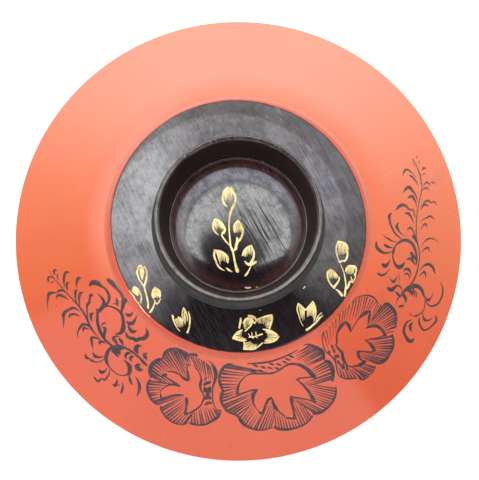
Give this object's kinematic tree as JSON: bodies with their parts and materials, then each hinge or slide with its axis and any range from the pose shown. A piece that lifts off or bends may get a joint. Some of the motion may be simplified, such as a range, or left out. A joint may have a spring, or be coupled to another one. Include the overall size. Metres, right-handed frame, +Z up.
{
  "type": "lacquer soup bowl with lid",
  "caption": "Round turned wooden soup bowl on a foot ring, with an overlapping domed lid that lifts off by its knob ring; red lacquer with black and gold painting.",
  "frame": {"origin": "centre of the foot ring's standing face", "axes": "+Z up along the turning axis, -Y towards the side that the lid's painting faces"},
  "size_m": [0.12, 0.12, 0.0912],
  "materials": {
    "red_lacquer": "vermilion lacquer over turned wood, worn to a soft gloss",
    "black_lacquer": "black lacquer brushed over the red, soft gloss, worn through to red on edges",
    "gold_paint": "sprinkled gold in lacquer, thin and rubbed"
  },
  "bodies": {
    "bowl": {"bowl": "red_lacquer"},
    "lid": {"lid": "red_lacquer"}
  },
  "joints": [
    {"name": "lid_lift", "type": "slide", "parent": "bowl", "child": "lid", "axis": [0, 0, 1], "range_m": [0, 0.08]}
  ]
}
